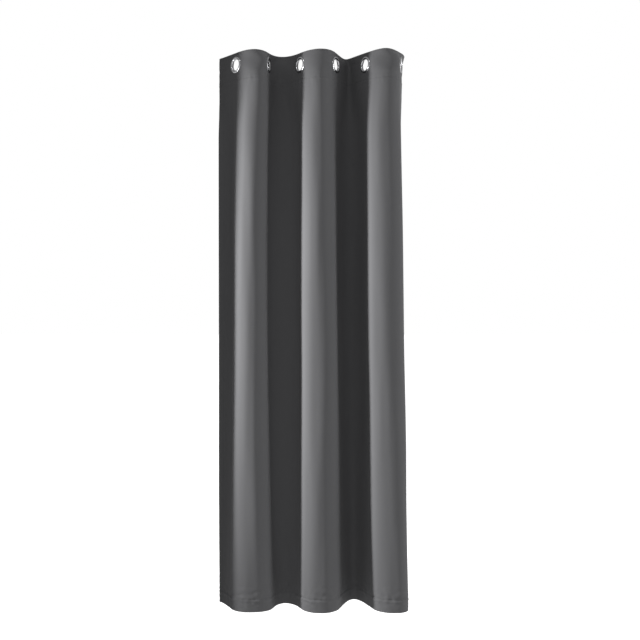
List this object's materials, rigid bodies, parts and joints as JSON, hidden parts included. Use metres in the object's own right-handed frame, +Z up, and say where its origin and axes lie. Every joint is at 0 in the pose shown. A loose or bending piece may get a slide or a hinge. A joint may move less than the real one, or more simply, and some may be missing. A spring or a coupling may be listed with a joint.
{
  "type": "fabric room curtain panel",
  "caption": "Long blackout curtain panel hanging in soft upright folds from metal-ringed eyelets, with a stiffened header and hemmed sides and foot; it gathers and spreads along a pole.",
  "frame": {"origin": "on the axis of the pole, midway between the first and the last eyelet", "axes": "+Z up, X along the pole, -Y towards the room (the face side)"},
  "size_m": [0.7239, 0.1595, 2.134],
  "materials": {
    "face_cloth": "dense matt woven blackout cloth, charcoal grey, faint soft sheen",
    "side_hem": "the same cloth, folded double and stitched",
    "stiffener": "off-white stiff woven header tape, hidden in the header",
    "eyelet": "polished nickel-coloured metal, bright rolled face",
    "eyelet_back": "the same metal, slightly duller back ring"
  },
  "bodies": {
    "outer_end": {"outer_side_hem": "side_hem"},
    "flank_1": {"face_cloth_1": "face_cloth", "header_stiffener_1": "stiffener", "eyelet_front_1": "eyelet", "eyelet_back_1": "eyelet_back"},
    "flank_2": {"face_cloth_2": "face_cloth", "header_stiffener_2": "stiffener", "eyelet_front_2": "eyelet", "eyelet_back_2": "eyelet_back"},
    "flank_3": {"face_cloth_3": "face_cloth", "header_stiffener_3": "stiffener", "eyelet_front_3": "eyelet", "eyelet_back_3": "eyelet_back"},
    "flank_4": {"face_cloth_4": "face_cloth", "header_stiffener_4": "stiffener", "eyelet_front_4": "eyelet", "eyelet_back_4": "eyelet_back"},
    "flank_5": {"face_cloth_5": "face_cloth", "header_stiffener_5": "stiffener", "eyelet_front_5": "eyelet", "eyelet_back_5": "eyelet_back"},
    "flank_6": {"face_cloth_6": "face_cloth", "header_stiffener_6": "stiffener", "eyelet_front_6": "eyelet", "eyelet_back_6": "eyelet_back", "inner_side_hem": "side_hem"}
  },
  "joints": [
    {"name": "outer_valley_fold", "type": "hinge", "parent": "outer_end", "child": "flank_1", "pos_m": [-0.36852, 0.04717, 0], "axis": [0, 0, -1], "range_deg": [-24, 22]},
    {"name": "crest_fold_1", "type": "hinge", "parent": "flank_1", "child": "flank_2", "pos_m": [-0.22678, -0.06146, 0], "axis": [0, 0, -1], "range_deg": [-44, 48]},
    {"name": "valley_fold_1", "type": "hinge", "parent": "flank_2", "child": "flank_3", "pos_m": [-0.15119, 0.0671, 0], "axis": [0, 0, -1], "range_deg": [-48, 44]},
    {"name": "crest_fold_2", "type": "hinge", "parent": "flank_3", "child": "flank_4", "pos_m": [0.00396, -0.05887, 0], "axis": [0, 0, -1], "range_deg": [-44, 48]},
    {"name": "valley_fold_2", "type": "hinge", "parent": "flank_4", "child": "flank_5", "pos_m": [0.12002, 0.07872, 0], "axis": [0, 0, -1], "range_deg": [-48, 44]},
    {"name": "crest_fold_3", "type": "hinge", "parent": "flank_5", "child": "flank_6", "pos_m": [0.26369, -0.05228, 0], "axis": [0, 0, -1], "range_deg": [-44, 48]}
  ],
  "couplings": [
    {"joint": "crest_fold_1", "follows": "outer_valley_fold", "ratio": -2},
    {"joint": "valley_fold_1", "follows": "outer_valley_fold", "ratio": 2},
    {"joint": "crest_fold_2", "follows": "outer_valley_fold", "ratio": -2},
    {"joint": "valley_fold_2", "follows": "outer_valley_fold", "ratio": 2},
    {"joint": "crest_fold_3", "follows": "outer_valley_fold", "ratio": -2}
  ]
}
